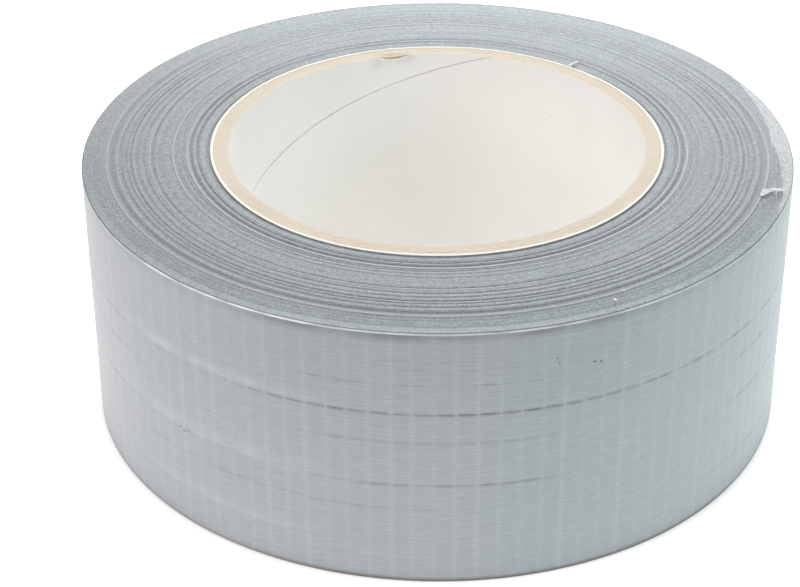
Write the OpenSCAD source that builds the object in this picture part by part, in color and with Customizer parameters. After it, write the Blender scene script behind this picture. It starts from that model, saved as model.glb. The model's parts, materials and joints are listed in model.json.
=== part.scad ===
// Roll of cloth-backed repair tape, lying flat on one of its side faces.
// Frame: the origin is on the core's axis at the bottom of the roll, and +Z runs up along that axis.
// The tape winds anticlockwise seen from above, and its free end lies on the +Y side.

/* [Core] */
// Inside diameter of the cardboard core, the standard 3 inch size
core_id = 76.2; // [76:0.1:77]
// Cut length of the core
core_len = 50.8; // [50.5:0.1:52]
// Thickness of the white paper liner that faces the bore
liner_t = 0.4; // [0.4:0.05:0.5]
// Number of brown kraft plies between the liner and the outer ply
kraft_plies = 6; // [4:1:8]
// Thickness of one kraft ply
kraft_t = 0.45; // [0.3:0.05:0.5]
// Thickness of the white paper ply that the tape is wound on
outer_ply_t = 0.3; // [0.2:0.05:0.5]

/* [Tape] */
// Outside diameter of the roll
roll_od = 130; // [126:1:140]
// Slit width of the tape
tape_w = 50; // [48:0.5:50]
// Thickness of the polyethylene backing film
film_t = 0.06; // [0.04:0.01:0.08]
// Thickness of the cloth scrim under the film
scrim_t = 0.04; // [0.03:0.01:0.06]
// Thickness of the adhesive coat
adhesive_t = 0.06; // [0.05:0.01:0.1]

/* [Free end] */
// Polar angle at which the last turn can start to lift off
peel_angle = 25; // [15:5:30]
// Arc of one lifting segment of the free end
segment_arc = 10; // [8:1:10]
// Number of lifting segments
segments = 6; // [3:1:6]
// Air left between the free end's adhesive and the turn under it
peel_clearance = 0.03; // [0.02:0.01:0.04]

/* [Hidden] */
$fn = 180;
// Arc left open between neighbouring segments, in degrees
segment_gap = 0.03;

// Each lay is a length of the wound strip that telescoped as one band. Its outer edge is given as a share of
// the wound depth, and its lift is how far its edge stands above the surface that the roll lies on.
LAY_EDGE = [0, 0.094, 0.167, 0.283, 0.454, 0.621, 0.793, 0.895, 1];
LAY_LIFT = [0.70, 0.75, 0.80, 0.75, 0.70, 0.65, 0.40, 0];

bore_r = core_id / 2;
kraft_r = bore_r + liner_t;
outer_ply_r = kraft_r + kraft_plies * kraft_t;
core_r = outer_ply_r + outer_ply_t;
tape_t = film_t + scrim_t + adhesive_t;
wound_r = roll_od / 2 - tape_t;
lays = len(LAY_LIFT);

// The last turn climbs one tape thickness in a full circle. It is drawn from two half circles: the -X half is
// centred on the axis, and the +X half on a point half a thickness along +Y, which leaves one step at +Y.
climb = tape_t / 2;
SCRIM_BASE = adhesive_t;
FILM_BASE = adhesive_t + scrim_t;

// A plain tube on the axis
module tube(r_in, r_out, bottom, height) {
    translate([0, 0, bottom])
        difference() {
            cylinder(r = r_out, h = height);
            translate([0, 0, -1]) cylinder(r = r_in, h = height + 2);
        }
}

// A curved sheet between two polar angles, about a centre that is shifted along +Y
module curved_sheet(centre_y, r_in, r_out, from, to, height) {
    translate([0, centre_y, 0])
        rotate([0, 0, from])
            rotate_extrude(angle = to - from)
                translate([r_in, 0]) square([r_out - r_in, height]);
}

// One layer of the last turn, from the step at +Y round to the line where the free end starts
module last_turn_layer(base, thickness) {
    union() {
        curved_sheet(0, wound_r + base, wound_r + base + thickness, 90, 270, tape_w);
        curved_sheet(climb, wound_r + climb + base, wound_r + climb + base + thickness,
                     -90, peel_angle - segment_gap / 2, tape_w);
    }
}

// One layer of one segment of the free end
module free_end_layer(i, base, thickness) {
    from = peel_angle + (i - 1) * segment_arc + segment_gap / 2;
    curved_sheet(climb, wound_r + climb + base, wound_r + climb + base + thickness,
                 from, from + segment_arc - segment_gap, tape_w);
}

// Radius of a lay's outer edge
function lay_r(i) = core_r + LAY_EDGE[i] * (wound_r - core_r);

// The white lining of the bore
module core_liner() {
    color("gainsboro") tube(bore_r, kraft_r, 0, core_len);
}

// One of the brown plies that carry the load
module core_kraft_ply(i) {
    color("tan") tube(kraft_r + (i - 1) * kraft_t, kraft_r + i * kraft_t, 0, core_len);
}

// The white ply under the first turn of tape
module core_outer_ply() {
    color("whitesmoke") tube(outer_ply_r, core_r, 0, core_len);
}

// One round lay of wound tape
module wound_tape(i) {
    color("silver") tube(lay_r(i - 1), lay_r(i), LAY_LIFT[i - 1], tape_w);
}

// The outermost lay, whose outside carries the step that the last turn starts from
module outermost_wound_tape() {
    color("silver")
        difference() {
            union() {
                intersection() {
                    cylinder(r = wound_r, h = tape_w);
                    translate([-2 * roll_od, -roll_od, 0]) cube([2 * roll_od, 2 * roll_od, tape_w]);
                }
                intersection() {
                    translate([0, climb, 0]) cylinder(r = wound_r + climb, h = tape_w);
                    translate([0, -roll_od, 0]) cube([2 * roll_od, 2 * roll_od, tape_w]);
                }
            }
            translate([0, 0, -1]) cylinder(r = lay_r(lays - 1), h = tape_w + 2);
        }
}

// The last turn's adhesive coat
module outer_turn_adhesive() {
    color("dimgray") last_turn_layer(0, adhesive_t);
}

// The last turn's cloth
module outer_turn_scrim() {
    color("lightgray") last_turn_layer(SCRIM_BASE, scrim_t);
}

// The last turn's silver backing film
module outer_turn_film() {
    color("darkgray") last_turn_layer(FILM_BASE, film_t);
}

// A segment's adhesive coat, which stays clear of the turn under it
module tape_end_adhesive(i) {
    color("dimgray") free_end_layer(i, peel_clearance, adhesive_t - peel_clearance);
}

// A segment's cloth
module tape_end_scrim(i) {
    color("lightgray") free_end_layer(i, SCRIM_BASE, scrim_t);
}

// A segment's silver backing film
module tape_end_film(i) {
    color("darkgray") free_end_layer(i, FILM_BASE, film_t);
}

core_liner();
for (i = [1:kraft_plies])
    core_kraft_ply(i);
core_outer_ply();
for (i = [1:lays - 1])
    wound_tape(i);
outermost_wound_tape();
outer_turn_adhesive();
outer_turn_scrim();
outer_turn_film();
for (i = [1:segments]) {
    tape_end_adhesive(i);
    tape_end_scrim(i);
    tape_end_film(i);
}
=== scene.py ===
"""Looks of a full roll of cloth-backed repair tape, wound on a paperboard core and lying flat.

Everything is in metres in the roll's own frame: the origin is on the core's axis, on the surface that the
roll lies on, and +Z runs up the axis. Angles called polar are in degrees about that axis, anticlockwise seen
from above, with 0 at +X. The tape winds anticlockwise, and its free end is on the +Y side.
"""

import json
import logging
import math
from dataclasses import dataclass, field
from enum import Enum
from functools import reduce
from typing import Any, Callable, Sequence

import bpy
import numpy as np
from mathutils import Matrix, Vector


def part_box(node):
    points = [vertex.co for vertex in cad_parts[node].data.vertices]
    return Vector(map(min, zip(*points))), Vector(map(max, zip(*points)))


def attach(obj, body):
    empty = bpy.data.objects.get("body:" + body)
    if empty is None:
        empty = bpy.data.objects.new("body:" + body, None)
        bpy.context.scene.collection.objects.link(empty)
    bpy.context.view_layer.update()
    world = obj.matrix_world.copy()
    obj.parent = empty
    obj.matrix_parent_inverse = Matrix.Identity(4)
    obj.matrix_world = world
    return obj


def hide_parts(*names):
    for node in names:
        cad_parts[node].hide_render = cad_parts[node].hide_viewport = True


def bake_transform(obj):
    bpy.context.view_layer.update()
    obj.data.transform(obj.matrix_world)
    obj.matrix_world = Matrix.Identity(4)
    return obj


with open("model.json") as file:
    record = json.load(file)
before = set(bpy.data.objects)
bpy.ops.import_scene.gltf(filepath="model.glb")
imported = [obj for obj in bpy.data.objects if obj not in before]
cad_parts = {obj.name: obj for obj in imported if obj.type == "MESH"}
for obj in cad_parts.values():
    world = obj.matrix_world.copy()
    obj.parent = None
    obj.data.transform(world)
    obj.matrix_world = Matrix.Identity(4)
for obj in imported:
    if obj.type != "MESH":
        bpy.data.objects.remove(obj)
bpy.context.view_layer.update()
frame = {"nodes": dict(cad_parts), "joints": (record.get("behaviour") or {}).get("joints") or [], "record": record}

LOG = logging.getLogger("tape_roll")
MM = 0.001
ROLL_BODY = "roll"
TAPE_UV = "tape"
BORE_R_MM = frame["record"]["mounts"][0]["dims"]["r_mm"]

# Polar angles: where each turn starts, the furthest place on the last turn's own path, and the torn end.
STEP_POLAR = 90.0
PATH_END = 449.9
TORN_END = 445.0

# Lengths shorter than this many degrees get their stations closer together.
SHORT_ARC = 20.0
# How many degrees before the end the sheets start to follow the torn edge.
TORN_ARC = 3.0

# How far apart the cloth's lines show in a surface: warps across the tape, and wefts along it.
WARP_LINES_MM = 0.73
WEFT_LINES_MM = 3.6

# The span that most of a noise texture's values lie in.
NOISE_LOW = 0.3
NOISE_HIGH = 0.7

Array = np.ndarray
Colour = tuple[float, float, float]


# --------------------------------------------------------------------------------------------------
# Numbers and meshes
# --------------------------------------------------------------------------------------------------

def smoothstep(low: float, high: float, value: Array) -> Array:
    """A smooth climb from 0 to 1.

    Args:
        low: where the climb starts.
        high: where it ends.
        value: the numbers to map.

    Returns:
        0 below low, 1 above high, and a smooth climb in between.
    """
    share = np.clip((np.asarray(value, float) - low) / (high - low), 0.0, 1.0)
    return share * share * (3.0 - 2.0 * share)


def arc_window(polar: Array, start: float, end: float, fade: float) -> Array:
    """A mask over part of the circle.

    Args:
        polar: polar angles in degrees, of any number of turns.
        start: where the mask starts, in degrees.
        end: where it ends, anticlockwise from start, in degrees.
        fade: how many degrees each end takes to fade.

    Returns:
        1 inside the arc, 0 outside it.
    """
    middle, half = (start + end) / 2.0, (end - start) / 2.0
    away = np.abs((np.asarray(polar, float) - middle + 180.0) % 360.0 - 180.0)
    return 1.0 - smoothstep(half - fade, half, away)


def wander(rng: np.random.Generator, place: Array, spacing: float) -> Array:
    """Smooth random values along a line.

    Args:
        rng: the source of random numbers.
        place: positions along the line.
        spacing: the distance between independent values.

    Returns:
        A value from -1 to 1 at each position.
    """
    place = np.asarray(place, float)
    low = math.floor(place.min() / spacing)
    count = int(math.ceil(place.max() / spacing) - low) + 3
    knots = rng.uniform(-1.0, 1.0, count)
    where = place / spacing - low
    cell = np.floor(where).astype(int)
    share = where - cell
    share = share * share * (3.0 - 2.0 * share)
    return knots[cell] * (1.0 - share) + knots[cell + 1] * share


def wander_to(rng: np.random.Generator, place: Array, spacing: float, limit: float) -> Array:
    """Smooth random values that draw the same numbers however far the places reach.

    Args:
        rng: the source of random numbers.
        place: positions along the line, of any shape.
        spacing: the distance between independent values.
        limit: the line's far end.

    Returns:
        A value from -1 to 1 at each position.
    """
    return wander(rng, np.append(place.ravel(), limit), spacing)[:-1].reshape(place.shape)


def stations(key: Array, start: float, end: float, step: float, apart: float) -> Array:
    """Places along a line: the key ones, and plain ones wherever those leave room.

    Args:
        key: places that must be kept.
        start: the first place.
        end: the last one.
        step: the distance between plain places.
        apart: how far a plain place keeps from the key ones and from the ends.

    Returns:
        Rising places from start to end.
    """
    key = key[(key > start + apart / 2) & (key < end - apart / 2)]
    plain = np.arange(start + step, end - apart, step)
    if key.size:
        plain = plain[np.abs(plain[:, None] - key[None]).min(1) > apart]
    return np.sort(np.concatenate([[start], key, plain, [end]]))


def spacing(start: float, end: float, fine: float, plain: float) -> float:
    """The distance between stations: the fine one on a short length, else the plain one."""
    return fine if end - start < SHORT_ARC else plain


def about_axis(radius: Array | float, angle: Array | float, height: Array | float) -> Array:
    """Points at a radius, an angle in radians and a height, as (..., 3)."""
    return np.stack(np.broadcast_arrays(radius * np.cos(angle), radius * np.sin(angle), height), -1)


def there_and_back(first: Array, second: Array) -> Array:
    """A closed section's rows: up the first face and back down the second."""
    return np.concatenate([first, second[::-1]])


@dataclass
class MeshPlan:
    """A mesh of quads before it becomes an object.

    points is (n, 3), quads is (m, 4), values holds one number per point for each name, and uv is (n, 2).
    """

    points: Array
    quads: Array
    values: dict[str, Array] = field(default_factory=dict)
    uv: Array | None = None

    def joined(self, other: "MeshPlan") -> "MeshPlan":
        """Two plans as one mesh.

        Args:
            other: a plan that holds the same value names.

        Returns:
            The joined plan.
        """
        uv = None if self.uv is None or other.uv is None else np.concatenate([self.uv, other.uv])
        values = {name: np.concatenate([self.values[name], other.values[name]]) for name in self.values}
        quads = np.concatenate([self.quads, other.quads + len(self.points)])
        return MeshPlan(np.concatenate([self.points, other.points]), quads, values, uv)

    def build(self, name: str, material: bpy.types.Material, sharp_deg: float = 38.0) -> bpy.types.Object:
        """Makes the object.

        Args:
            name: the piece's name.
            material: its material.
            sharp_deg: edges that turn by more than this stay crisp.

        Returns:
            The new object, linked to the scene.
        """
        mesh = bpy.data.meshes.new(name)
        mesh.vertices.add(len(self.points))
        mesh.vertices.foreach_set("co", self.points.astype(np.float32).ravel())
        mesh.loops.add(len(self.quads) * 4)
        mesh.loops.foreach_set("vertex_index", self.quads.astype(np.int32).ravel())
        mesh.polygons.add(len(self.quads))
        mesh.polygons.foreach_set("loop_start", np.arange(0, len(self.quads) * 4, 4, dtype=np.int32))
        mesh.update(calc_edges=True)
        for label, numbers in self.values.items():
            layer = mesh.attributes.new(label, "FLOAT", "POINT")
            layer.data.foreach_set("value", numbers.astype(np.float32).ravel())
        if self.uv is not None:
            layer = mesh.uv_layers.new(name=TAPE_UV)
            layer.data.foreach_set("uv", self.uv[self.quads.ravel()].astype(np.float32).ravel())
        mesh.shade_smooth()
        mesh.set_sharp_from_angle(angle=math.radians(sharp_deg))
        mesh.validate()
        mesh.materials.append(material)
        piece = bpy.data.objects.new(name, mesh)
        bpy.context.scene.collection.objects.link(piece)
        return piece


def sweep(
    rings: Array,
    wrap: bool,
    values: dict[str, Array] | None = None,
    uv: Array | None = None,
) -> MeshPlan:
    """A closed solid from a closed cross-section carried along a row of stations.

    Args:
        rings: points as (section point, station, 3). The section runs up the outside and down the inside.
        wrap: whether the last station joins the first.
        values: numbers per point as (section point, station), by name.
        uv: places on the tape as (section point, station, 2).

    Returns:
        The plan. Ends that don't wrap are capped, each section point being joined to its mirror one.
    """
    section, count = rings.shape[:2]
    index = np.arange(section * count).reshape(section, count)
    above = np.roll(index, -1, axis=0)
    if wrap:
        sides = np.stack([index, np.roll(index, -1, 1), np.roll(above, -1, 1), above], -1)
    else:
        sides = np.stack([index[:, :-1], index[:, 1:], above[:, 1:], above[:, :-1]], -1)
    quads = [sides.reshape(-1, 4)]
    if not wrap:
        for station, order in ((0, 1), (count - 1, -1)):
            column = index[:, station]
            near = np.arange(section // 2 - 1)
            far = section - 1 - near
            cap = np.stack([column[near], column[near + 1], column[far - 1], column[far]], -1)
            quads.append(cap[:, ::order])
    given = (values or {}).items()
    flat = {name: np.broadcast_to(numbers, (section, count)).reshape(-1) for name, numbers in given}
    places = None if uv is None else uv.reshape(-1, 2)
    return MeshPlan(rings.reshape(-1, 3), np.concatenate(quads), flat, places)


def fibre(path: Array, radius: Array | float, sides: int = 6) -> MeshPlan:
    """A thin round fibre along a path.

    Args:
        path: points as (station, 3).
        radius: one radius, or one for each station.
        sides: how many sides the fibre has, an even number.

    Returns:
        The fibre's plan.
    """
    along = np.gradient(path, axis=0)
    along /= np.linalg.norm(along, axis=1)[:, None]
    helper = np.where(np.abs(along[:, 2:3]) > 0.9, np.array([[1.0, 0, 0]]), np.array([[0, 0, 1.0]]))
    across = np.cross(along, helper)
    across /= np.linalg.norm(across, axis=1)[:, None]
    over = np.cross(across, along)
    turn = np.arange(sides) * 2 * math.pi / sides
    ring = np.cos(turn)[:, None, None] * across[None] + np.sin(turn)[:, None, None] * over[None]
    return sweep(path[None] + ring * np.reshape(radius, (1, -1, 1)), wrap=False)


# --------------------------------------------------------------------------------------------------
# Shader graphs
# --------------------------------------------------------------------------------------------------

class Blend(Enum):
    """How two colours are mixed."""

    MIX = "MIX"
    MULTIPLY = "MULTIPLY"


class Graph:
    """Short calls for laying out a node tree."""

    def __init__(self, tree: bpy.types.NodeTree) -> None:
        """Keeps the tree that the nodes go into."""
        self.tree = tree

    def feed(self, socket: bpy.types.NodeSocket, value: Any) -> None:
        """Links a socket to another one, or sets its number, vector or colour.

        Args:
            socket: the input to fill.
            value: another node's output, or a plain value.
        """
        if isinstance(value, bpy.types.NodeSocket):
            self.tree.links.new(value, socket)
        elif socket.type == "RGBA":
            socket.default_value = (*value[:3], 1.0)
        else:
            socket.default_value = value

    def node(self, kind: str, inputs: dict[Any, Any] | None = None, **settings: Any) -> bpy.types.Node:
        """Adds a node.

        Args:
            kind: the node's type, without the ShaderNode in front.
            inputs: socket name or index, and what feeds it.
            settings: the node's own properties.

        Returns:
            The new node.
        """
        made = self.tree.nodes.new(f"ShaderNode{kind}")
        for label, value in settings.items():
            setattr(made, label, value)
        for key, value in (inputs or {}).items():
            self.feed(made.inputs[key], value)
        return made

    def math(self, operation: str, *values: Any, clamp: bool = False) -> bpy.types.NodeSocket:
        """The result of a maths node on one to three values."""
        return self.node("Math", dict(enumerate(values)), operation=operation, use_clamp=clamp).outputs[0]

    def span(
        self, value: Any, low: float, high: float, to_low: float = 0.0, to_high: float = 1.0
    ) -> bpy.types.NodeSocket:
        """Maps a value from one span to another.

        Args:
            value: the value to map.
            low: the start of its span.
            high: the end of its span.
            to_low: what low becomes.
            to_high: what high becomes.

        Returns:
            The mapped value, kept inside its new span.
        """
        inputs = {"Value": value, "From Min": low, "From Max": high, "To Min": to_low, "To Max": to_high}
        return self.node("MapRange", inputs, clamp=True).outputs["Result"]

    def mix(self, factor: Any, first: Any, second: Any, how: Blend = Blend.MIX) -> bpy.types.NodeSocket:
        """A mix of two colours.

        Args:
            factor: how much of the second.
            first: the first colour.
            second: the second colour.
            how: the way they mix.

        Returns:
            The mixed colour.
        """
        made = self.node("Mix", data_type="RGBA", blend_type=how.value)
        for index, value in ((0, factor), (6, first), (7, second)):
            self.feed(made.inputs[index], value)
        return made.outputs[2]

    def stretch(self, vector: Any, scale: Sequence[float]) -> bpy.types.NodeSocket:
        """A vector times a fixed scale on each axis."""
        return self.node("VectorMath", {0: vector, 1: tuple(scale)}, operation="MULTIPLY").outputs[0]

    def noise(
        self, vector: Any, scale: float, detail: float = 3.0, rough: float = 0.55
    ) -> bpy.types.NodeSocket:
        """Noise from 0 to 1 at a scale.

        Args:
            vector: the place.
            scale: features per unit.
            detail: how many finer layers it holds.
            rough: how strong those are.

        Returns:
            The noise value.
        """
        inputs = {"Vector": vector, "Scale": scale, "Detail": detail, "Roughness": rough}
        return self.node("TexNoise", inputs).outputs["Fac"]

    def swing(self, value: Any, amount: Any) -> bpy.types.NodeSocket:
        """A noise value counted from its middle, times an amount."""
        return self.math("MULTIPLY", self.math("SUBTRACT", value, 0.5), amount)

    def shade(self, colour: Any, value: Any) -> bpy.types.NodeSocket:
        """A colour made darker or paler by a value, which may be over 1."""
        grey = self.node("CombineColor", {0: value, 1: value, 2: value}).outputs[0]
        return self.mix(1.0, colour, grey, Blend.MULTIPLY)

    def attribute(self, name: str) -> bpy.types.NodeSocket:
        """The value of a mesh attribute."""
        return self.node("Attribute", attribute_name=name).outputs["Fac"]

    def tape_place(self) -> bpy.types.NodeSocket:
        """The place on the tape in millimetres: X along it and Y across it."""
        return self.node("UVMap", uv_map=TAPE_UV).outputs["UV"]

    def object_mm(self) -> bpy.types.NodeSocket:
        """The place on the object in millimetres."""
        return self.stretch(self.node("TexCoord").outputs["Object"], (1000.0, 1000.0, 1000.0))


class EffectGroup:
    """A shader node group with named sockets, built once and shared by several finishes."""

    FLOAT = "NodeSocketFloat"
    VECTOR = "NodeSocketVector"

    def __init__(self, name: str, inputs: dict[str, tuple[str, float]], outputs: Sequence[str]) -> None:
        """Makes the group with its sockets.

        Args:
            name: the group's name.
            inputs: socket name to its type and starting value.
            outputs: names of the number outputs.
        """
        self.tree = bpy.data.node_groups.new(name, "ShaderNodeTree")
        for label, (kind, start) in inputs.items():
            socket = self.tree.interface.new_socket(name=label, in_out="INPUT", socket_type=kind)
            if kind == self.FLOAT:
                socket.default_value = start
        for label in outputs:
            self.tree.interface.new_socket(name=label, in_out="OUTPUT", socket_type=self.FLOAT)
        self.graph = Graph(self.tree)
        self.source = self.tree.nodes.new("NodeGroupInput").outputs
        self.result = self.tree.nodes.new("NodeGroupOutput").inputs

    def place(self, graph: Graph, **values: Any) -> bpy.types.bpy_prop_collection:
        """Puts the group into a material.

        Args:
            graph: the material's graph.
            values: what feeds each input, with spaces in its name written as underscores.

        Returns:
            The group node's outputs.
        """
        made = graph.node("Group", node_tree=self.tree)
        for label, value in values.items():
            graph.feed(made.inputs[label.replace("_", " ")], value)
        return made.outputs


class WeaveGroup(EffectGroup):
    """Cloth that shows through a skin: warp lines along the tape, broken up by wider weft lines across it."""

    def __init__(self) -> None:
        """Builds both masks. Wefts lie at whole multiples of their pitch along the tape."""
        super().__init__(
            "cloth_lines",
            {
                "Place": (self.VECTOR, 0.0),
                "Warp Pitch": (self.FLOAT, WARP_LINES_MM),
                "Weft Pitch": (self.FLOAT, WEFT_LINES_MM),
            },
            ("Warp", "Weft", "Height"),
        )
        g = self.graph
        place = self.source["Place"]
        split = g.node("SeparateXYZ", {0: place}).outputs
        bend = g.swing(g.noise(g.stretch(place, (0.28, 0.22, 1.0)), 1.0, 2.0), 0.9)
        along = g.math("ADD", split[0], bend)
        drift = g.swing(g.noise(g.stretch(place, (0.05, 0.3, 1.0)), 1.0, 2.0), 0.9)
        across = g.math("DIVIDE", g.math("ADD", split[1], drift), self.source["Warp Pitch"])
        counted = g.math("DIVIDE", along, self.source["Weft Pitch"])
        number = g.math("ROUND", counted)
        column = g.math("FLOOR", counted)
        near = g.math("PINGPONG", along, g.math("MULTIPLY", self.source["Weft Pitch"], 0.5))
        each = g.node("TexWhiteNoise", {"W": number}, noise_dimensions="1D").outputs["Value"]
        weft = g.math("MULTIPLY", g.span(near, 0.08, 0.75, 1.0, 0.0), g.span(each, 0.0, 1.0, 0.35, 1.0))
        pair = g.node("CombineXYZ", {0: column, 1: g.math("FLOOR", across)}).outputs[0]
        cell = g.node("TexWhiteNoise", {"Vector": pair}, noise_dimensions="2D").outputs["Value"]
        wave = g.math("COSINE", g.math("MULTIPLY", g.math("SUBTRACT", across, 0.5), 2 * math.pi))
        warp = g.math("MULTIPLY", g.span(wave, -0.8, 1.0), g.span(cell, 0.25, 1.0, 0.0, 1.0))
        weft = g.math("MULTIPLY", weft, g.span(wave, -1.0, 0.6, 0.45, 1.0))
        g.feed(self.result["Warp"], warp)
        g.feed(self.result["Weft"], weft)
        g.feed(self.result["Height"], g.math("ADD", warp, g.math("MULTIPLY", weft, 0.8)))


class MottleGroup(EffectGroup):
    """Soft cloudiness plus fine grain, as one factor around 1."""

    def __init__(self) -> None:
        """Builds the factor from two sizes of noise."""
        super().__init__(
            "mottle",
            {
                "Place": (self.VECTOR, 0.0),
                "Cloud Scale": (self.FLOAT, 0.1),
                "Cloud": (self.FLOAT, 0.1),
                "Grain Scale": (self.FLOAT, 3.0),
                "Grain": (self.FLOAT, 0.05),
            },
            ("Factor", "Grain Value"),
        )
        g = self.graph
        cloud = g.noise(self.source["Place"], 1.0, 3.0)
        grain = g.noise(self.source["Place"], 1.0, 4.0, 0.65)
        self.tree.links.new(self.source["Cloud Scale"], cloud.node.inputs["Scale"])
        self.tree.links.new(self.source["Grain Scale"], grain.node.inputs["Scale"])
        soft = g.swing(cloud, self.source["Cloud"])
        fine = g.swing(grain, self.source["Grain"])
        g.feed(self.result["Factor"], g.math("ADD", 1.0, g.math("MULTIPLY", g.math("ADD", soft, fine), 2.0)))
        g.feed(self.result["Grain Value"], grain)


class SpotGroup(EffectGroup):
    """A round mark at one place on a surface."""

    def __init__(self) -> None:
        """Builds the mask from the distance to the mark's middle."""
        super().__init__(
            "spot",
            {
                "Place": (self.VECTOR, 0.0),
                "Along": (self.FLOAT, 0.0),
                "Across": (self.FLOAT, 0.0),
                "Length": (self.FLOAT, 0.5),
                "Width": (self.FLOAT, 0.5),
            },
            ("Mask",),
        )
        g = self.graph
        split = g.node("SeparateXYZ", {0: self.source["Place"]}).outputs
        along = g.math("DIVIDE", g.math("SUBTRACT", split[0], self.source["Along"]), self.source["Length"])
        across = g.math("DIVIDE", g.math("SUBTRACT", split[1], self.source["Across"]), self.source["Width"])
        squares = g.math("ADD", g.math("MULTIPLY", along, along), g.math("MULTIPLY", across, across))
        away = g.math("SQRT", squares)
        ragged = g.math("MULTIPLY", g.noise(self.source["Place"], 3.0, 2.0), 0.6)
        g.feed(self.result["Mask"], g.span(g.math("ADD", away, ragged), 0.7, 1.3, 1.0, 0.0))


@dataclass(frozen=True)
class Effects:
    """The groups that the finishes share."""

    weave: WeaveGroup = field(default_factory=WeaveGroup)
    mottle: MottleGroup = field(default_factory=MottleGroup)
    spot: SpotGroup = field(default_factory=SpotGroup)


# --------------------------------------------------------------------------------------------------
# Finishes
# --------------------------------------------------------------------------------------------------

@dataclass(frozen=True)
class Mark:
    """A small blemish on film or paper: its middle, its half sizes in millimetres, and how dark it is."""

    along: float
    across: float
    length: float
    width: float
    shade: float


@dataclass(frozen=True)
class Finish:
    """A surface finish. Each kind fills in colour, roughness and relief in its own way."""

    name: str
    effects: Effects
    colour: Colour
    roughness: float = 0.5
    gloss: float = 0.5

    def material(self) -> bpy.types.Material:
        """Builds the material.

        Returns:
            The material, with its Principled BSDF joined to the output.
        """
        made = bpy.data.materials.new(self.name)
        made.use_nodes = True
        graph = Graph(made.node_tree)
        shader = made.node_tree.nodes["Principled BSDF"]
        shader.inputs["Roughness"].default_value = self.roughness
        shader.inputs["Specular IOR Level"].default_value = self.gloss
        self.dress(graph, shader)
        return made

    def dress(self, graph: Graph, shader: bpy.types.Node) -> None:
        """Lays out the finish's nodes.

        Args:
            graph: the material's graph.
            shader: its Principled BSDF.
        """
        raise NotImplementedError

    def rough(self, graph: Graph, shader: bpy.types.Node, value: Any, low: float, high: float) -> None:
        """Spreads the shader's roughness between two limits by a noise value."""
        graph.feed(shader.inputs["Roughness"], graph.span(value, NOISE_LOW, NOISE_HIGH, low, high))

    def marked(
        self, graph: Graph, place: Any, under: Any, marks: Sequence[Mark], share: float, blue: float
    ) -> bpy.types.NodeSocket:
        """Puts small marks over a colour.

        Args:
            graph: the material's graph.
            place: the place on the surface in millimetres.
            under: the colour under the marks.
            marks: the marks.
            share: how much of that colour a mark hides.
            blue: how blue a mark is, as a share of its red.

        Returns:
            The marked colour.
        """
        for mark in marks:
            spot = self.effects.spot.place(
                graph, Place=place, Along=mark.along, Across=mark.across, Length=mark.length, Width=mark.width
            )
            tint = (mark.shade, mark.shade, mark.shade * blue)
            under = graph.mix(graph.math("MULTIPLY", spot["Mask"], share), under, tint)
        return under

    def bump(self, graph: Graph, shader: bpy.types.Node, height: Any, depth_mm: float) -> None:
        """Joins a height to the shader's normal through a Bump node."""
        inputs = {"Height": height, "Distance": depth_mm * MM, "Strength": 1.0}
        graph.feed(shader.inputs["Normal"], graph.node("Bump", inputs).outputs["Normal"])


@dataclass(frozen=True)
class BackingFilm(Finish):
    """Silver-grey polyethylene with the cloth showing through it."""

    # How dark the painted shade in the creases and under the top edge goes.
    painted_shade_share: float = 0.42
    # The pale of rubbed film, also used for painted highlights.
    rubbed: Colour = (0.68, 0.69, 0.70)
    # The colour of the painted contact shadow along the film's foot.
    grime: Colour = (0.13, 0.125, 0.10)
    marks: tuple[Mark, ...] = ()

    def dress(self, graph: Graph, shader: bpy.types.Node) -> None:
        """Colours the film and its cloth lines and marks, with painted shade in the creases and under the top
        edge, a painted contact shadow along the foot, and pale rubbed places and painted highlights.

        Args:
            graph: the material's graph.
            shader: its Principled BSDF.
        """
        place = graph.tape_place()
        mottle = self.effects.mottle.place(
            graph, Place=place, Cloud_Scale=0.07, Cloud=0.035, Grain_Scale=1.9, Grain=0.035
        )
        weave = self.effects.weave.place(
            graph, Place=place, Warp_Pitch=WARP_LINES_MM, Weft_Pitch=WEFT_LINES_MM
        )
        lines = graph.math("MULTIPLY", graph.math("SUBTRACT", weave["Warp"], 0.3), 0.06)
        cross = graph.math("MULTIPLY", graph.math("SUBTRACT", weave["Weft"], 0.1), 0.105)
        flow = graph.noise(graph.stretch(place, (0.42, 1.9, 1.0)), 1.0, 4.0, 0.65)
        cloth = graph.math("ADD", graph.math("ADD", lines, cross), graph.swing(flow, 0.30))
        tone = graph.math("ADD", cloth, mottle["Factor"])
        # Painted shade in the creases and under the rolled top edge, carried by the crease attribute.
        dark = graph.span(graph.attribute("crease"), 0.0, 1.0, 1.0, self.painted_shade_share)
        coloured = graph.shade(self.colour, graph.math("MULTIPLY", tone, dark))
        # Paler where rubbed, with painted highlights along the top lip and above three of the creases.
        rubbed = graph.mix(graph.attribute("scuff"), coloured, self.rubbed)
        # Painted contact shadow along the film's foot.
        shadowed = graph.mix(graph.attribute("grime"), rubbed, self.grime)
        graph.feed(shader.inputs["Base Color"], self.marked(graph, place, shadowed, self.marks, 0.75, 0.97))
        self.rough(graph, shader, mottle["Grain Value"], self.roughness - 0.06, self.roughness + 0.08)
        relief = graph.math("ADD", weave["Height"], graph.math("MULTIPLY", mottle["Grain Value"], 0.9))
        self.bump(graph, shader, relief, 0.018)


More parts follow.
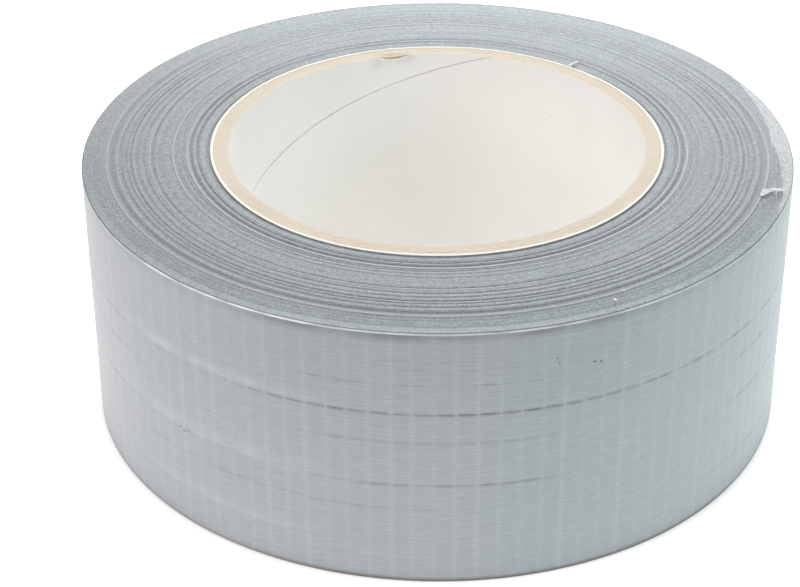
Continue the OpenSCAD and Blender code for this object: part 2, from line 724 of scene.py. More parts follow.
@dataclass(frozen=True)
class WoundEdge(Finish):
    """The slit edges of the wound turns: film, cloth and adhesive cut through by a knife."""

    frayed: Colour = (0.46, 0.495, 0.505)
    rubbed: Colour = (0.53, 0.555, 0.555)
    # The colour of the painted shade in the sunk turns.
    deep: Colour = (0.15, 0.16, 0.17)

    def dress(self, graph: Graph, shader: bpy.types.Node) -> None:
        """Colours the rings by turn, with pale frayed turns and painted shade in the sunk turns between them; the
        tone adds painted shade on the ±X sides and a painted highlight on the outer turns at the front.

        Args:
            graph: the material's graph.
            shader: its Principled BSDF.
        """
        place = graph.tape_place()
        mottle = self.effects.mottle.place(
            graph, Place=graph.object_mm(), Cloud_Scale=0.09, Cloud=0.06, Grain_Scale=2.2, Grain=0.80
        )
        dashes = graph.noise(graph.stretch(place, (0.5, 1.0, 1.0)), 1.0, 3.0, 0.6)
        # The tone varies at random by turn, and holds painted shade on the ±X sides and a painted highlight on the
        # outer turns at the front.
        turned = graph.math("ADD", mottle["Factor"], graph.math("MULTIPLY", graph.attribute("tone"), 0.09))
        base = graph.shade(self.colour, turned)
        threads = graph.span(dashes, NOISE_LOW, 0.62, 0.45, 1.0)
        frayed = graph.mix(graph.math("MULTIPLY", graph.attribute("fray"), threads), base, self.frayed)
        crumbs = graph.span(mottle["Grain Value"], NOISE_LOW, 0.65, 0.35, 1.0)
        rubbed = graph.mix(graph.math("MULTIPLY", graph.attribute("worn"), crumbs), frayed, self.rubbed)
        # Painted shade in the sunk turns.
        dark = graph.mix(graph.attribute("groove"), rubbed, self.deep)
        graph.feed(shader.inputs["Base Color"], dark)
        self.rough(graph, shader, dashes, self.roughness - 0.08, self.roughness + 0.1)
        self.bump(graph, shader, mottle["Grain Value"], 0.07)


@dataclass(frozen=True)
class CutPaper(Finish):
    """Paper or board: soft fibres, cloudiness, and darker or paler worn places."""

    fibre_colour: Colour = (0.7, 0.7, 0.7)
    seam_colour: Colour = (0.30, 0.24, 0.18)
    rim_colour: Colour = (0.55, 0.50, 0.40)
    fibre_scale: Colour = (1.2, 1.2, 0.5)
    fibre_share: float = 0.35
    cloud: float = 0.05
    grain: float = 0.06
    relief_mm: float = 0.03
    marks: tuple[Mark, ...] = ()

    def dress(self, graph: Graph, shader: bpy.types.Node) -> None:
        """Colours the fibres, the grain, the cut rim, any seam and any marks.

        Args:
            graph: the material's graph.
            shader: its Principled BSDF.
        """
        place = graph.object_mm()
        mottle = self.effects.mottle.place(
            graph, Place=place, Cloud_Scale=0.06, Cloud=self.cloud, Grain_Scale=2.6, Grain=self.grain
        )
        strands = graph.noise(graph.stretch(place, self.fibre_scale), 1.6, 5.0, 0.7)
        fibres = graph.span(strands, 0.45, 0.75, 0.0, self.fibre_share)
        laid = graph.mix(fibres, self.colour, self.fibre_colour)
        cut = graph.mix(graph.attribute("rim"), laid, self.rim_colour)
        clouded = graph.shade(cut, mottle["Factor"])
        seamed = graph.mix(graph.attribute("seam"), clouded, self.seam_colour)
        marked = self.marked(graph, graph.tape_place(), seamed, self.marks, 0.6, 0.9)
        graph.feed(shader.inputs["Base Color"], marked)
        self.rough(graph, shader, strands, self.roughness, self.roughness + 0.1)
        self.bump(graph, shader, graph.math("ADD", strands, mottle["Grain Value"]), self.relief_mm)


@dataclass(frozen=True)
class CottonYarn(Finish):
    """White cotton and polyester yarn with a twist."""

    def dress(self, graph: Graph, shader: bpy.types.Node) -> None:
        """Gives the yarn its twist lines and fuzz.

        Args:
            graph: the material's graph.
            shader: its Principled BSDF.
        """
        place = graph.object_mm()
        mottle = self.effects.mottle.place(
            graph, Place=place, Cloud_Scale=0.3, Cloud=0.1, Grain_Scale=9.0, Grain=0.2
        )
        graph.feed(shader.inputs["Base Color"], graph.shade(self.colour, mottle["Factor"]))
        self.rough(graph, shader, mottle["Grain Value"], 0.7, 0.9)
        self.bump(graph, shader, mottle["Grain Value"], 0.03)


@dataclass(frozen=True)
class TackyAdhesive(Finish):
    """Grey natural rubber adhesive with the cloth pressed through it."""

    pale: Colour = (0.52, 0.52, 0.50)

    def dress(self, graph: Graph, shader: bpy.types.Node) -> None:
        """Colours the coat, paler where the yarns lie close under it.

        Args:
            graph: the material's graph.
            shader: its Principled BSDF.
        """
        place = graph.tape_place()
        mottle = self.effects.mottle.place(
            graph, Place=place, Cloud_Scale=0.1, Cloud=0.08, Grain_Scale=3.5, Grain=0.08
        )
        weave = self.effects.weave.place(
            graph, Place=place, Warp_Pitch=WARP_LINES_MM, Weft_Pitch=WEFT_LINES_MM
        )
        warps = graph.mix(graph.math("MULTIPLY", weave["Warp"], 0.6), self.colour, self.pale)
        crossed = graph.mix(graph.math("MULTIPLY", weave["Weft"], 0.8), warps, self.pale)
        graph.feed(shader.inputs["Base Color"], graph.shade(crossed, mottle["Factor"]))
        self.rough(graph, shader, mottle["Grain Value"], 0.28, 0.46)
        self.bump(graph, shader, graph.math("ADD", weave["Height"], mottle["Grain Value"]), 0.03)


@dataclass(frozen=True)
class StudioGround(Finish):
    """A white sweep that is lit from below where the roll stands."""

    foot_mm: float = 64.6
    lit_mm: float = 110.0
    dim_mm: float = 400.0
    bore_mm: float = 40.0
    fade_mm: float = 4.0
    warm: Colour = (1.0, 0.915, 0.92)
    cool: Colour = (0.93, 0.98, 1.0)
    side_mm: float = 90.0
    glow: float = 1.0

    def dress(self, graph: Graph, shader: bpy.types.Node) -> None:
        """Gives the sweep a faint unevenness and its soft glow.

        Args:
            graph: the material's graph.
            shader: its Principled BSDF.
        """
        place = graph.object_mm()
        mottle = self.effects.mottle.place(
            graph, Place=place, Cloud_Scale=0.004, Cloud=0.01, Grain_Scale=0.5, Grain=0.01
        )
        graph.feed(shader.inputs["Base Color"], graph.shade(self.colour, mottle["Factor"]))
        away = graph.node("VectorMath", {0: place}, operation="LENGTH").outputs["Value"]
        # The glow drops to a quarter at the roll's foot and climbs back over a few millimetres, a painted contact
        # shadow; inside the bore it glows at three quarters.
        outside = graph.span(away, self.foot_mm, self.foot_mm + self.fade_mm, 0.25, 1.0)
        inside = graph.span(away, self.bore_mm, self.bore_mm + self.fade_mm, 0.75, 0.0)
        near = graph.math("MAXIMUM", outside, inside)
        share = graph.math("MULTIPLY", graph.span(away, self.lit_mm, self.dim_mm, 1.0, 0.0), near)
        side = graph.span(graph.node("SeparateXYZ", {0: place}).outputs[0], -self.side_mm, self.side_mm)
        glow = graph.mix(share, (0.0, 0.0, 0.0), graph.mix(side, self.warm, self.cool))
        graph.feed(shader.inputs["Emission Color"], glow)
        shader.inputs["Emission Strength"].default_value = self.glow


# --------------------------------------------------------------------------------------------------
# The strip's path
# --------------------------------------------------------------------------------------------------

@dataclass(frozen=True)
class Strip:
    """The one strip of tape: where it runs and how its cloth lies. Its lengths are in metres."""

    core_r: float
    wound_r: float
    thickness: float
    width: float
    last_polar: float
    weft_pitch: float = 3.6 * MM
    weft_jitter: float = 0.05

    @property
    def turns(self) -> int:
        """How many whole turns lie under the last one."""
        return round((self.wound_r - self.core_r) / self.thickness)

    @property
    def pitch(self) -> float:
        """How far each wound turn lies outside the one before."""
        return (self.wound_r - self.core_r) / self.turns

    def place(self, polar: Array, out: Array | float) -> tuple[Array, Array]:
        """Where the strip runs.

        Args:
            polar: degrees from the +X axis, 90 at the start of the first turn and 360 more for each turn.
            out: how far outside the strip's inner face the point lies.

        Returns:
            X and Y. The path is drawn from half circles on two centres, so that it climbs one turn's pitch in
            every full circle.
        """
        polar = np.asarray(polar, float)
        since = (polar - STEP_POLAR) / 360.0
        turn = np.floor(since + 1e-9)
        climb = np.where(since - turn > 0.5 + 1e-9, self.pitch / 2.0, 0.0)
        radius = self.core_r + turn * self.pitch + climb + out
        angle = np.radians(polar)
        return radius * np.cos(angle), climb + radius * np.sin(angle)

    def last_turn(self, polar: Array) -> Array:
        """A polar angle within the last turn, as one counted from the core."""
        return np.asarray(polar, float) + 360.0 * self.turns

    def turn_below(self, polar: Array) -> Array:
        """A polar angle within the turn under the last one, as one counted from the core."""
        return self.last_turn(polar) - 360.0

    def points(self, polar: Array, out: Array | float, height: Array) -> Array:
        """Points on the strip's path.

        Args:
            polar: what place() takes.
            out: what place() takes.
            height: heights, which fit the polar angles.

        Returns:
            The points as (..., 3).
        """
        x, y = self.place(polar, out)
        return np.stack([x, y, np.broadcast_to(height, x.shape)], -1)

    def weft_polars(self) -> Array:
        """Where the weft yarns of the last turn lie, from its start to the free end.

        Returns:
            Their polar angles, rising.
        """
        rng = np.random.default_rng(31)
        step = math.degrees(self.weft_pitch / self.wound_r)
        count = int((self.last_polar - STEP_POLAR) / step)
        nudge = rng.uniform(-self.weft_jitter, self.weft_jitter, count) * step
        return STEP_POLAR + step * (np.arange(count) + 0.5) + nudge

    def from_weft(self, polar: Array) -> Array:
        """How far each of a row of polar angles is from the nearest weft yarn, in metres."""
        return np.abs(polar[:, None] - self.weft_polars()[None]).min(1) * math.radians(1.0) * self.wound_r

    def along_mm(self, polar: Array) -> Array:
        """Distance along the last turn, with each weft yarn at a whole multiple of its pitch.

        Args:
            polar: polar angles within the last turn.

        Returns:
            The distance in millimetres at each of them.
        """
        wefts = self.weft_polars()
        step = wefts[1] - wefts[0]
        knots = np.concatenate([[wefts[0] - 2 * step], wefts, [wefts[-1] + 4 * step]])
        count = np.concatenate([[-2], np.arange(len(wefts)), [len(wefts) + 3]])
        return np.interp(polar, knots, count * self.weft_pitch / MM)

    def tape_uv(self, place: Array, height: Array) -> Array:
        """Places on the tape in millimetres, as (row, station, 2): along it, and across it."""
        return np.stack([self.along_mm(place), np.broadcast_to(height / MM, place.shape)], -1)

    def torn(
        self,
        polar: Array,
        height: Array,
        end: float,
        ragged: Callable[[Array], Array] | None,
        short: float = 0.0,
    ) -> Array:
        """A sheet's polar angles, run out to its torn edge where it has one.

        Args:
            polar: polar angles as (1, station).
            height: heights as (row, 1).
            end: polar angle where the sheet ends.
            ragged: extra length at the end as a function of height, or None for a straight end.
            short: how far this sheet stops short of that.

        Returns:
            Polar angles as (row, station).
        """
        place = polar + np.zeros_like(height)
        if ragged is None:
            return place
        share = smoothstep(end - TORN_ARC, end, polar) * (polar > end - TORN_ARC)
        return place + share * np.degrees((ragged(height) - short) / self.wound_r)


@dataclass(frozen=True)
class Crease:
    """A fine fold that runs round the film: its height, where it is seen, and how deep and broken it is."""

    height_mm: float
    start: float
    end: float
    strength: float
    dash: float = 0.6


@dataclass
class FilmSkin:
    """Builds stretches of the backing film with the cloth's relief, the creases and the rolled edges."""

    strip: Strip
    base: float
    thickness: float
    weft_relief: float = 0.020 * MM
    weft_half: float = 0.34 * MM
    pucker: float = 0.035 * MM
    crease_half: float = 0.30 * MM
    edge_roll: float = 0.30 * MM
    row_step: float = 1.7 * MM
    bottom_gap: float = 0.13 * MM
    creases: tuple[Crease, ...] = (
        Crease(34.4, 236.0, 305.0, 1.0, 0.3), Crease(34.4, 190.0, 222.0, 0.35, 0.8),
        Crease(34.4, 212.0, 246.0, 0.15, 1.0), Crease(34.4, 292.0, 348.0, 0.72),
        Crease(28.8, 246.0, 293.0, 0.35), Crease(28.8, 194.0, 222.0, 0.35), Crease(28.8, 316.0, 348.0, 0.45),
        Crease(20.2, 247.0, 293.0, 0.55), Crease(20.2, 192.0, 222.0, 0.40), Crease(20.2, 316.0, 348.0, 0.55),
        Crease(40.1, 244.0, 292.0, 0.40), Crease(43.1, 255.0, 288.0, 0.26, 1.0),
        Crease(44.7, 253.0, 284.0, 0.26, 1.0),
        Crease(46.1, 258.0, 276.0, 0.2, 1.0), Crease(7.5, 316.0, 346.0, 0.45), Crease(7.5, 194.0, 218.0, 0.4),
        Crease(15.3, 205.0, 290.0, 0.2, 1.0),
    )

    def columns(self, start: float, end: float) -> Array:
        """Polar angles of the stations, close together at each weft yarn.

        Args:
            start: where the stretch starts.
            end: where it ends.

        Returns:
            Rising polar angles from start to end.
        """
        to_deg = math.degrees(1.0 / self.strip.wound_r)
        offsets = np.array([-1.0, 0.0, 1.0]) * self.weft_half * to_deg
        gaps = np.array([0.36, 0.64]) * self.strip.weft_pitch * to_deg
        near = (self.strip.weft_polars()[:, None] + np.concatenate([offsets, gaps])).ravel()
        return stations(near, start, end, spacing(start, end, 0.5, 1.0), spacing(start, end, 0.22, 0.6))

    def lines(self) -> Array:
        """The heights at which there is a crease somewhere, in metres."""
        return np.unique([crease.height_mm for crease in self.creases]) * MM

    def rows(self) -> Array:
        """Heights of the rows in the strip's width, with extra ones at each crease and at both edges.

        Returns:
            Rising heights from 0 to the strip's width.
        """
        width = self.strip.width
        low = np.array([0.0, 0.10, 0.22, 0.38, 0.9]) * MM
        high = width - np.array([0.0, 0.06, 0.14, 0.26, 0.42, 0.75, 1.3, 2.2]) * MM
        fine = (self.lines()[:, None] + np.array([-1.7, -0.85, 0.0, 0.85, 1.7]) * self.crease_half).ravel()
        plain = np.arange(self.row_step, width - 2.4 * MM, self.row_step)
        apart = np.abs(plain[:, None] - fine[None]).min(1) > 0.6 * MM
        return np.unique(np.round(np.concatenate([low, high, fine, plain[apart]]), 7))

    def near_line(self, height: Array, reach: float) -> Array:
        """1 on a crease's line, falling to 0 at a reach from it."""
        away = np.abs(height - self.lines()[None]).min(1)[:, None]
        return 1.0 - smoothstep(0.0, reach, away)

    def crease_depth(self, polar: Array, height: Array) -> Array:
        """How deep the film is creased.

        Args:
            polar: polar angles as (1, station).
            height: heights as (row, 1).

        Returns:
            0 to 1 as (row, station). Creases break off where a weft yarn holds the film up.
        """
        rng = np.random.default_rng(77)
        free = 0.12 + 0.88 * smoothstep(0.05 * MM, 0.50 * MM, self.strip.from_weft(polar[0]))
        depth = np.zeros(np.broadcast_shapes(polar.shape, height.shape))
        for crease in self.creases:
            breaks = wander(rng, polar[0], 1.6 + 3.0 * (1.0 - crease.dash))
            seen = arc_window(polar[0], crease.start, crease.end, 10.0)
            strength = crease.strength * seen * free * np.clip(0.75 + breaks * crease.dash, 0.0, 1.0)
            away = np.abs(height - crease.height_mm * MM)
            depth = np.maximum(depth, strength[None] * (1.0 - smoothstep(0.0, self.crease_half * 1.5, away)))
        return depth

    def weft_swell(self, polar: Array, height: Array) -> Array:
        """How far each place is pushed out by a weft yarn.

        Args:
            polar: polar angles as (1, station).
            height: heights as (row, 1).

        Returns:
            0 to 1 as (row, station).
        """
        rng = np.random.default_rng(5)
        wefts = self.strip.weft_polars()
        gap = self.strip.from_weft(polar[0])
        each = np.interp(polar[0], wefts, rng.uniform(0.45, 1.0, len(wefts)))
        along = np.clip(0.85 + 0.3 * wander(rng, height[:, 0], 4 * MM)[:, None], 0.0, 1.0)
        return ((1.0 - smoothstep(0.0, self.weft_half * 1.1, gap)) * each)[None] * along

    def face(self, polar: Array, height: Array, crease: Array) -> Array:
        """How far the outer face lies from the inner one.

        Args:
            polar: polar angles as (1, station).
            height: heights as (row, 1).
            crease: what crease_depth gives.

        Returns:
            The distance as (row, station).
        """
        rng = np.random.default_rng(6)
        swell = self.weft_relief * self.weft_swell(polar, height)
        broad = 0.5 + 0.5 * wander(rng, polar[0], 4.3)[None] * wander(rng, height[:, 0], 11 * MM)[:, None]
        down = self.strip.width - height
        edge = np.minimum(height, down)
        plump = smoothstep(0.0, 3.0 * MM, edge) * self.pucker
        plump = plump + broad * self.pucker * smoothstep(0.0, 1.5 * MM, edge)
        lip = 0.030 * MM * smoothstep(0.55 * MM, 0.26 * MM, down) * (down > 0.05 * MM)
        round_off = (1.0 - smoothstep(0.0, self.edge_roll * 0.5, edge)) * self.thickness * 0.85
        wide, narrow = (self.near_line(height, reach * self.crease_half) for reach in (2.4, 1.2))
        shoulder = wide - narrow
        nearby = crease.max(0)[None]
        sunk = crease * (self.thickness * 0.75 + plump + swell)
        outer = self.thickness + swell + plump + lip - round_off - sunk
        outer = outer + np.clip(shoulder, 0, 1) * 0.018 * MM * nearby
        return np.maximum(outer, self.thickness * 0.12)

    def stretch(
        self,
        start: float,
        end: float,
        wind: Callable[[Array], Array],
        ragged: Callable[[Array], Array] | None = None,
    ) -> MeshPlan:
        """One stretch of film as a closed thin sheet.

        Args:
            start: polar angle where it starts.
            end: polar angle where it ends.
            wind: turns a polar angle of the last turn into one counted from the core.
            ragged: extra length at the end as a function of height, for a torn edge.

        Returns:
            The film's plan.
        """
        polar = self.columns(start, end)[None]
        height = self.rows()[:, None]
        place = self.strip.torn(polar, height, end, ragged)
        crease = self.crease_depth(polar, height)
        outer = self.face(polar, height, crease)
        rng = np.random.default_rng(15)
        cell = self.strip.along_mm(polar) * MM / self.strip.weft_pitch % 1.0
        step = (0.11 * (0.5 - cell) + 0.05 * wander(rng, polar[0], 7.0)[None]) * MM
        share = height / self.strip.width
        top = (0.05 + 0.03 * wander(rng, polar[0], 12.0)[None]) * MM * smoothstep(0.5, 1.0, share)
        under = self.bottom_gap * (1.0 + 0.5 * wander(rng, polar[0], 9.0)[None])
        bottom = under * (1.0 - smoothstep(0.0, 0.4, share))
        heights = height + step * self.near_line(height, 2.2 * self.crease_half) + top + bottom
        faces = [
            self.strip.points(wind(place), self.base + out, heights) for out in (outer, np.zeros_like(outer))
        ]
        uv = self.strip.tape_uv(place, height)
        # Painted shade: darker in the creases and under the rolled top edge.
        dark = np.maximum(crease, self.edge_shade(polar, height))
        # Pale where rubbed, and painted highlights on the top lip and above three of the creases.
        scuff = self.scuffs_and_highlights(polar, height)
        # Painted contact shadow along the foot of the film, stronger on the near side.
        shadow_strength = 0.40 + 0.45 * arc_window(polar, 232.0, 340.0, 25.0)
        grime = (1.0 - smoothstep(0.15 * MM, 0.85 * MM, height)) * shadow_strength
        values = {
            "crease": there_and_back(dark, dark * 0),
            "scuff": there_and_back(scuff, scuff),
            "grime": there_and_back(grime, grime),
        }
        return sweep(there_and_back(*faces), False, values, there_and_back(uv, uv))

    def edge_shade(self, polar: Array, height: Array) -> Array:
        """Painted shade: a dark line just under the rolled top edge, and a broad darkening of the film's upper
        part on the near side.

        Args:
            polar: polar angles as (1, station).
            height: heights as (row, 1).

        Returns:
            How dark it is, 0 to 1 as a crease is, as (row, station).
        """
        rng = np.random.default_rng(29)
        down = self.strip.width - height
        line = smoothstep(0.20 * MM, 0.45 * MM, down) * (1.0 - smoothstep(0.55 * MM, 2.4 * MM, down)) ** 1.5
        patch = np.clip(0.75 + 0.4 * wander(rng, polar[0], 5.0), 0.0, 1.0)
        facing = arc_window(polar[0], 232.0, 310.0, 18.0)[None]
        fading = 1.0 - smoothstep(1.0 * MM, 26.0 * MM, down)
        broad = 0.07 * facing * smoothstep(0.4 * MM, 1.0 * MM, down) * fading
        return np.maximum(line * (0.62 * facing * patch + 0.16), broad)

    def scuffs_and_highlights(self, polar: Array, height: Array) -> Array:
        """Where the film is pale: along the rolled top edge, partly rubbed and partly a painted highlight on the
        lip, most on the near left and on the +X side; and painted highlight streaks just above three of the
        creases on the near left.

        Args:
            polar: polar angles as (1, station).
            height: heights as (row, 1).

        Returns:
            0 to 1 as (row, station).
        """
        rng = np.random.default_rng(19)
        patches = np.clip(0.75 + wander(rng, polar[0], 2.2) * 0.45, 0.0, 1.0)
        worn = 0.45 * arc_window(polar[0], 336.0, 400.0, 14.0) + 0.45
        worn = worn + 0.60 * arc_window(polar[0], 212.0, 258.0, 10.0)
        worn = worn + 0.15 * arc_window(polar[0], 250.0, 312.0, 12.0)
        # Painted highlight along the top lip, partly rubbed.
        near_top = 1.0 - smoothstep(0.24 * MM, 0.44 * MM, self.strip.width - height)
        # Painted highlight streaks just above three of the creases, on the near left.
        away = [np.abs(height - middle * MM) for middle in (35.6, 21.4, 8.6)]
        bands = sum(1.0 - smoothstep(0.0, 1.5 * MM, gap) for gap in away)
        streaks = bands * (0.16 * arc_window(polar[0], 205.0, 258.0, 20.0) * patches)[None]
        return np.maximum(near_top * (np.clip(worn, 0, 1) * patches)[None], streaks)


# --------------------------------------------------------------------------------------------------
# Sub-assemblies
# --------------------------------------------------------------------------------------------------

def settle(
    piece: bpy.types.Object, slot: str, nodes: Sequence[str], body: str | None = ROLL_BODY
) -> bpy.types.Object:
    """Tells the frame what a finished piece is.

    Args:
        piece: the piece.
        slot: the name of the record's material slot for it, which only goes to the log.
        nodes: the CAD nodes that it stands for.
        body: the body that it rides on, or None for none.

    Returns:
        The same piece.
    """
    if nodes:
        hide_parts(*nodes)
    if body:
        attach(piece, body)
    faces, stood_for = len(piece.data.polygons), ", ".join(nodes) or "no node"
    LOG.info("%s: %d faces, slot %s, for %s", piece.name, faces, slot, stood_for)
    return piece


@dataclass
class PaperCore:
    """The spirally wound paper core: liner, kraft plies and white outer ply, with a knife-cut rim."""

    liner: bpy.types.Material
    kraft: bpy.types.Material
    white: bpy.types.Material
    stations: int = 540
    bevel: float = 0.03 * MM
    fuzz: float = 0.05 * MM
    seam_polar: float = 75.2
    seam_height: float = 50.6 * MM
    seam_drop: float = 0.209 * MM
    seam_depth: float = 0.12 * MM
    split_start: float = 97.4
    split_end: float = 109.0
    split_fade: float = 4.6
    split_reach: float = 3.2 * MM

    def seam_at(self, height: Array) -> Array:
        """The polar angle of the liner's butt seam at a height."""
        return self.seam_polar + (self.seam_height - np.asarray(height, float)) / self.seam_drop

    def bulge(self, polar: Array, down: Array, width: float) -> Array:
        """How far a ply stands in towards the axis where the rim has split.

        Args:
            polar: polar angles.
            down: distances below the rim.
            width: how far the ply stands in at the rim.

        Returns:
            The distance at each place.
        """
        deep = 1.0 - smoothstep(0, self.split_reach, down)
        return arc_window(polar, self.split_start, self.split_end, self.split_fade) * deep * width

    def ply(self, node: str, seed: int, width: float, proud: float = 0.0, flare: float = 0.0) -> MeshPlan:
        """One ply as a tube whose rim is cut a little unevenly.

        Args:
            node: the CAD node whose box gives the ply's radii and length.
            seed: picks the rim's unevenness.
            width: how far this ply stands in where the rim has split.
            proud: how far the rim stands above the node's top.
            flare: how far the cut rim is spread outwards over the first turn.

        Returns:
            The ply's plan.
        """
        low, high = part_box(node)
        outer = high[0]
        inner = outer - self.wall(node)
        polar = np.arange(self.stations) * 360.0 / self.stations
        rng = np.random.default_rng(seed)
        fine = wander_to(rng, polar, 0.9, 360.0)
        broad = wander_to(rng, polar, 7.0, 360.0)
        uneven = (fine * 0.6 + broad * 0.4) * arc_window(polar, 2.0, 358.0, 4.0)
        top = high[2] + proud + self.fuzz * uneven
        middle = (inner + outer) / 2
        spread = flare * 0.6
        b = self.bevel
        foot, step = np.full(self.stations, low[2]), np.full(self.stations, low[2] + b)
        levels = [np.full(self.stations, high[2] - down * MM) for down in (3.4, 2.4, 1.5, 0.7)]
        outside = [(outer - b, foot), (outer, step)]
        outside += [(outer, level) for level in levels]
        outside += [(outer, top - 2.5 * b), (outer + flare, top - b)]
        rim = [
            (outer - b + flare, top), (middle, top + self.fuzz * 0.5 * uneven), (inner + b - spread, top),
        ]
        inside = [(inner - spread, top - b), (inner, top - 2 * b)]
        inside += [(inner, level) for level in levels[::-1]]
        inside += [(inner, step), (inner + b, foot), (middle, foot)]
        rings = []
        for radius, height in outside + rim + inside:
            bent = radius - self.bulge(polar, np.maximum(high[2] - height, 0.0), width)
            rings.append(about_axis(bent, np.radians(polar), height))
        return sweep(np.stack(rings), True)

    def wall(self, node: str) -> float:
        """The thickness of a ply.

        Args:
            node: the ply's CAD node.

        Returns:
            The gap between its outside and that of the ply inside it, or the bore.
        """
        order = sorted((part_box(n)[1][0], n) for n in frame["nodes"] if n.startswith("core_"))
        index = [n for _, n in order].index(node)
        return order[index][0] - (order[index - 1][0] if index else BORE_R_MM * MM)

    def lining(self) -> MeshPlan:
        """The liner, a strip wound into a tube, with the open butt seam between its edges.

        Returns:
            The liner's plan. Its stations lean with the seam, so that the seam is a real groove.
        """
        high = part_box("core_liner")[1]
        outer = high[0]
        inner = outer - self.wall("core_liner")
        near_rim = [47.6, 48.4, 49.2, 49.9, 50.4, 50.68, 50.8]
        rows = np.concatenate([[0.0, 0.05], np.linspace(0.6, 46.8, 64), near_rim]) * MM
        lips = np.degrees(np.array([-1.1, -0.22, -0.15, 0.15, 0.22, 1.1]) * MM / inner)
        polar = np.concatenate([lips, np.linspace(lips[-1] + 0.6, 360.0 + lips[0] - 0.6, 420)])
        groove = np.zeros(len(polar))
        groove[2:4] = 1.0
        lip = np.zeros(len(polar))
        lip[[1, 4]] = 1.0
        angle_deg = polar[None] + self.seam_at(rows[:, None])
        angle = np.radians(angle_deg)
        rng = np.random.default_rng(12)
        soft = wander(rng, rows, 9 * MM)[:, None] * 0.012 * MM
        at_rim = rows[:, None] > 50.6 * MM
        inward = self.bulge(angle_deg, high[2] - rows[:, None], 1.05 * MM)
        height = rows[:, None] + self.fuzz * 0.5 * wander(rng, polar, 1.1)[None] * at_rim
        height = height - inward * 0.25 * at_rim
        bore_face = inner + groove[None] * self.seam_depth - lip[None] * 0.015 * MM + soft - inward
        faces = [about_axis(radius, angle, height) for radius in (outer - inward, bore_face)]
        strong = 0.50 + 0.35 * wander(rng, rows, 4 * MM)[:, None]
        seam = np.clip(groove[None] * strong + 0.12 * lip[None] * strong, 0, 1)
        rim = (rows[:, None] > 50.75 * MM) * np.ones_like(seam)
        values = {"seam": there_and_back(seam * 0, seam), "rim": there_and_back(rim, rim)}
        round_bore = angle_deg * math.radians(1.0) * inner / MM
        uv = np.stack([round_bore, np.broadcast_to(rows[:, None] / MM, angle_deg.shape)], -1)
        return sweep(there_and_back(*faces), True, values, there_and_back(uv, uv))

    def build(self) -> None:
        """Builds and settles every ply."""
        settle(self.lining().build("liner_paper", self.liner), "liner_paper", ["core_liner"])
        plies = sorted(n for n in frame["nodes"] if n.startswith("core_kraft_ply_"))
        for index, node in enumerate(plies):
            width = (0.48, 0.22, 0.0)[min(index, 2)] * MM
            piece = self.ply(node, 40 + index, width).build(node.replace("core_", ""), self.kraft)
            settle(piece, "kraft_board", [node])
        rim = self.ply("core_outer_ply", 60, 0.0, proud=0.08 * MM, flare=0.13 * MM)
        settle(rim.build("white_outer_ply", self.white), "white_ply", ["core_outer_ply"])


@dataclass(frozen=True)
class Ring:
    """A place where turns stand out of the winding's face or lie below it.

    It holds the middle's radius, the lift, how many turns it takes, and how frayed they are.
    """

    radius_mm: float
    lift_mm: float
    turns: float = 1.0
    fray: float = 0.0


